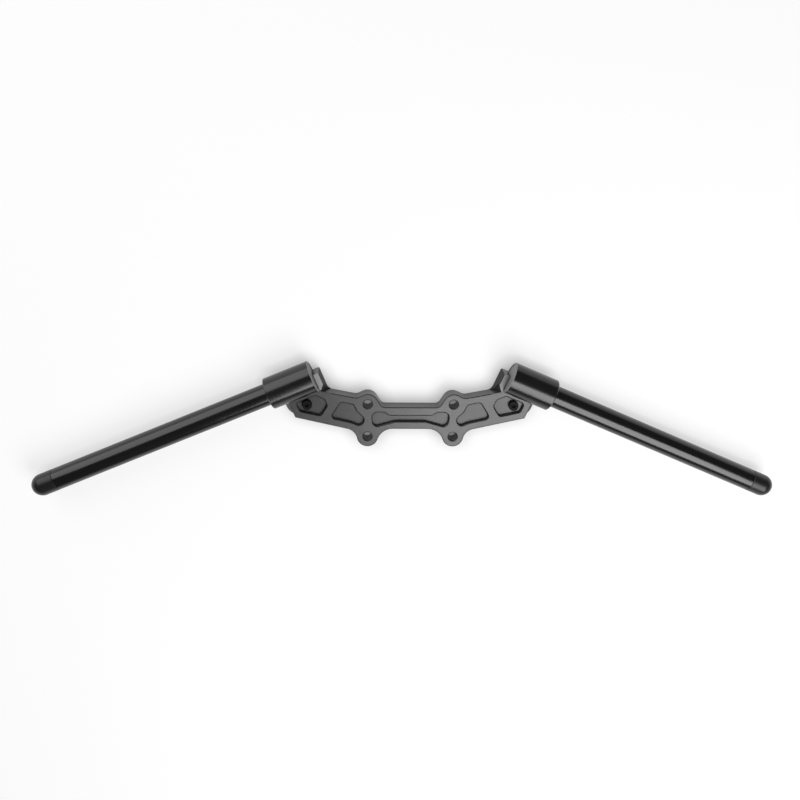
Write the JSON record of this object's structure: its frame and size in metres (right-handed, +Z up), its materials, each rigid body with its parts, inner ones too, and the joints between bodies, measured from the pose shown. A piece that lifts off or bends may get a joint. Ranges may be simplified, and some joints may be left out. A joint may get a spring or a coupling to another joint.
{
  "type": "handlebar adapter plate",
  "caption": "Flat milled adapter plate that bolts in place of a handlebar and carries swept bars in round sockets at its ends.",
  "frame": {"origin": "centre of the four clamp bolts, on the plate's underside", "axes": "+X to the rider's right along the plate, +Y forward away from the rider, +Z up out of the plate's top face"},
  "size_m": [0.754, 0.1392, 0.038],
  "materials": {
    "plate": "matte black anodised",
    "socket": "satin black anodised, turned",
    "tube": "gloss black",
    "cap": "satin black",
    "screw": "black oxide"
  },
  "bodies": {
    "root": {"adapter_plate": "plate", "left_bar_socket": "socket", "right_bar_socket": "socket", "left_bar_tube": "tube", "right_bar_tube": "tube", "left_end_cap": "cap", "right_end_cap": "cap", "left_socket_screw": "screw", "right_socket_screw": "screw", "left_grub_screw": "screw", "right_grub_screw": "screw"}
  },
  "joints": []
}
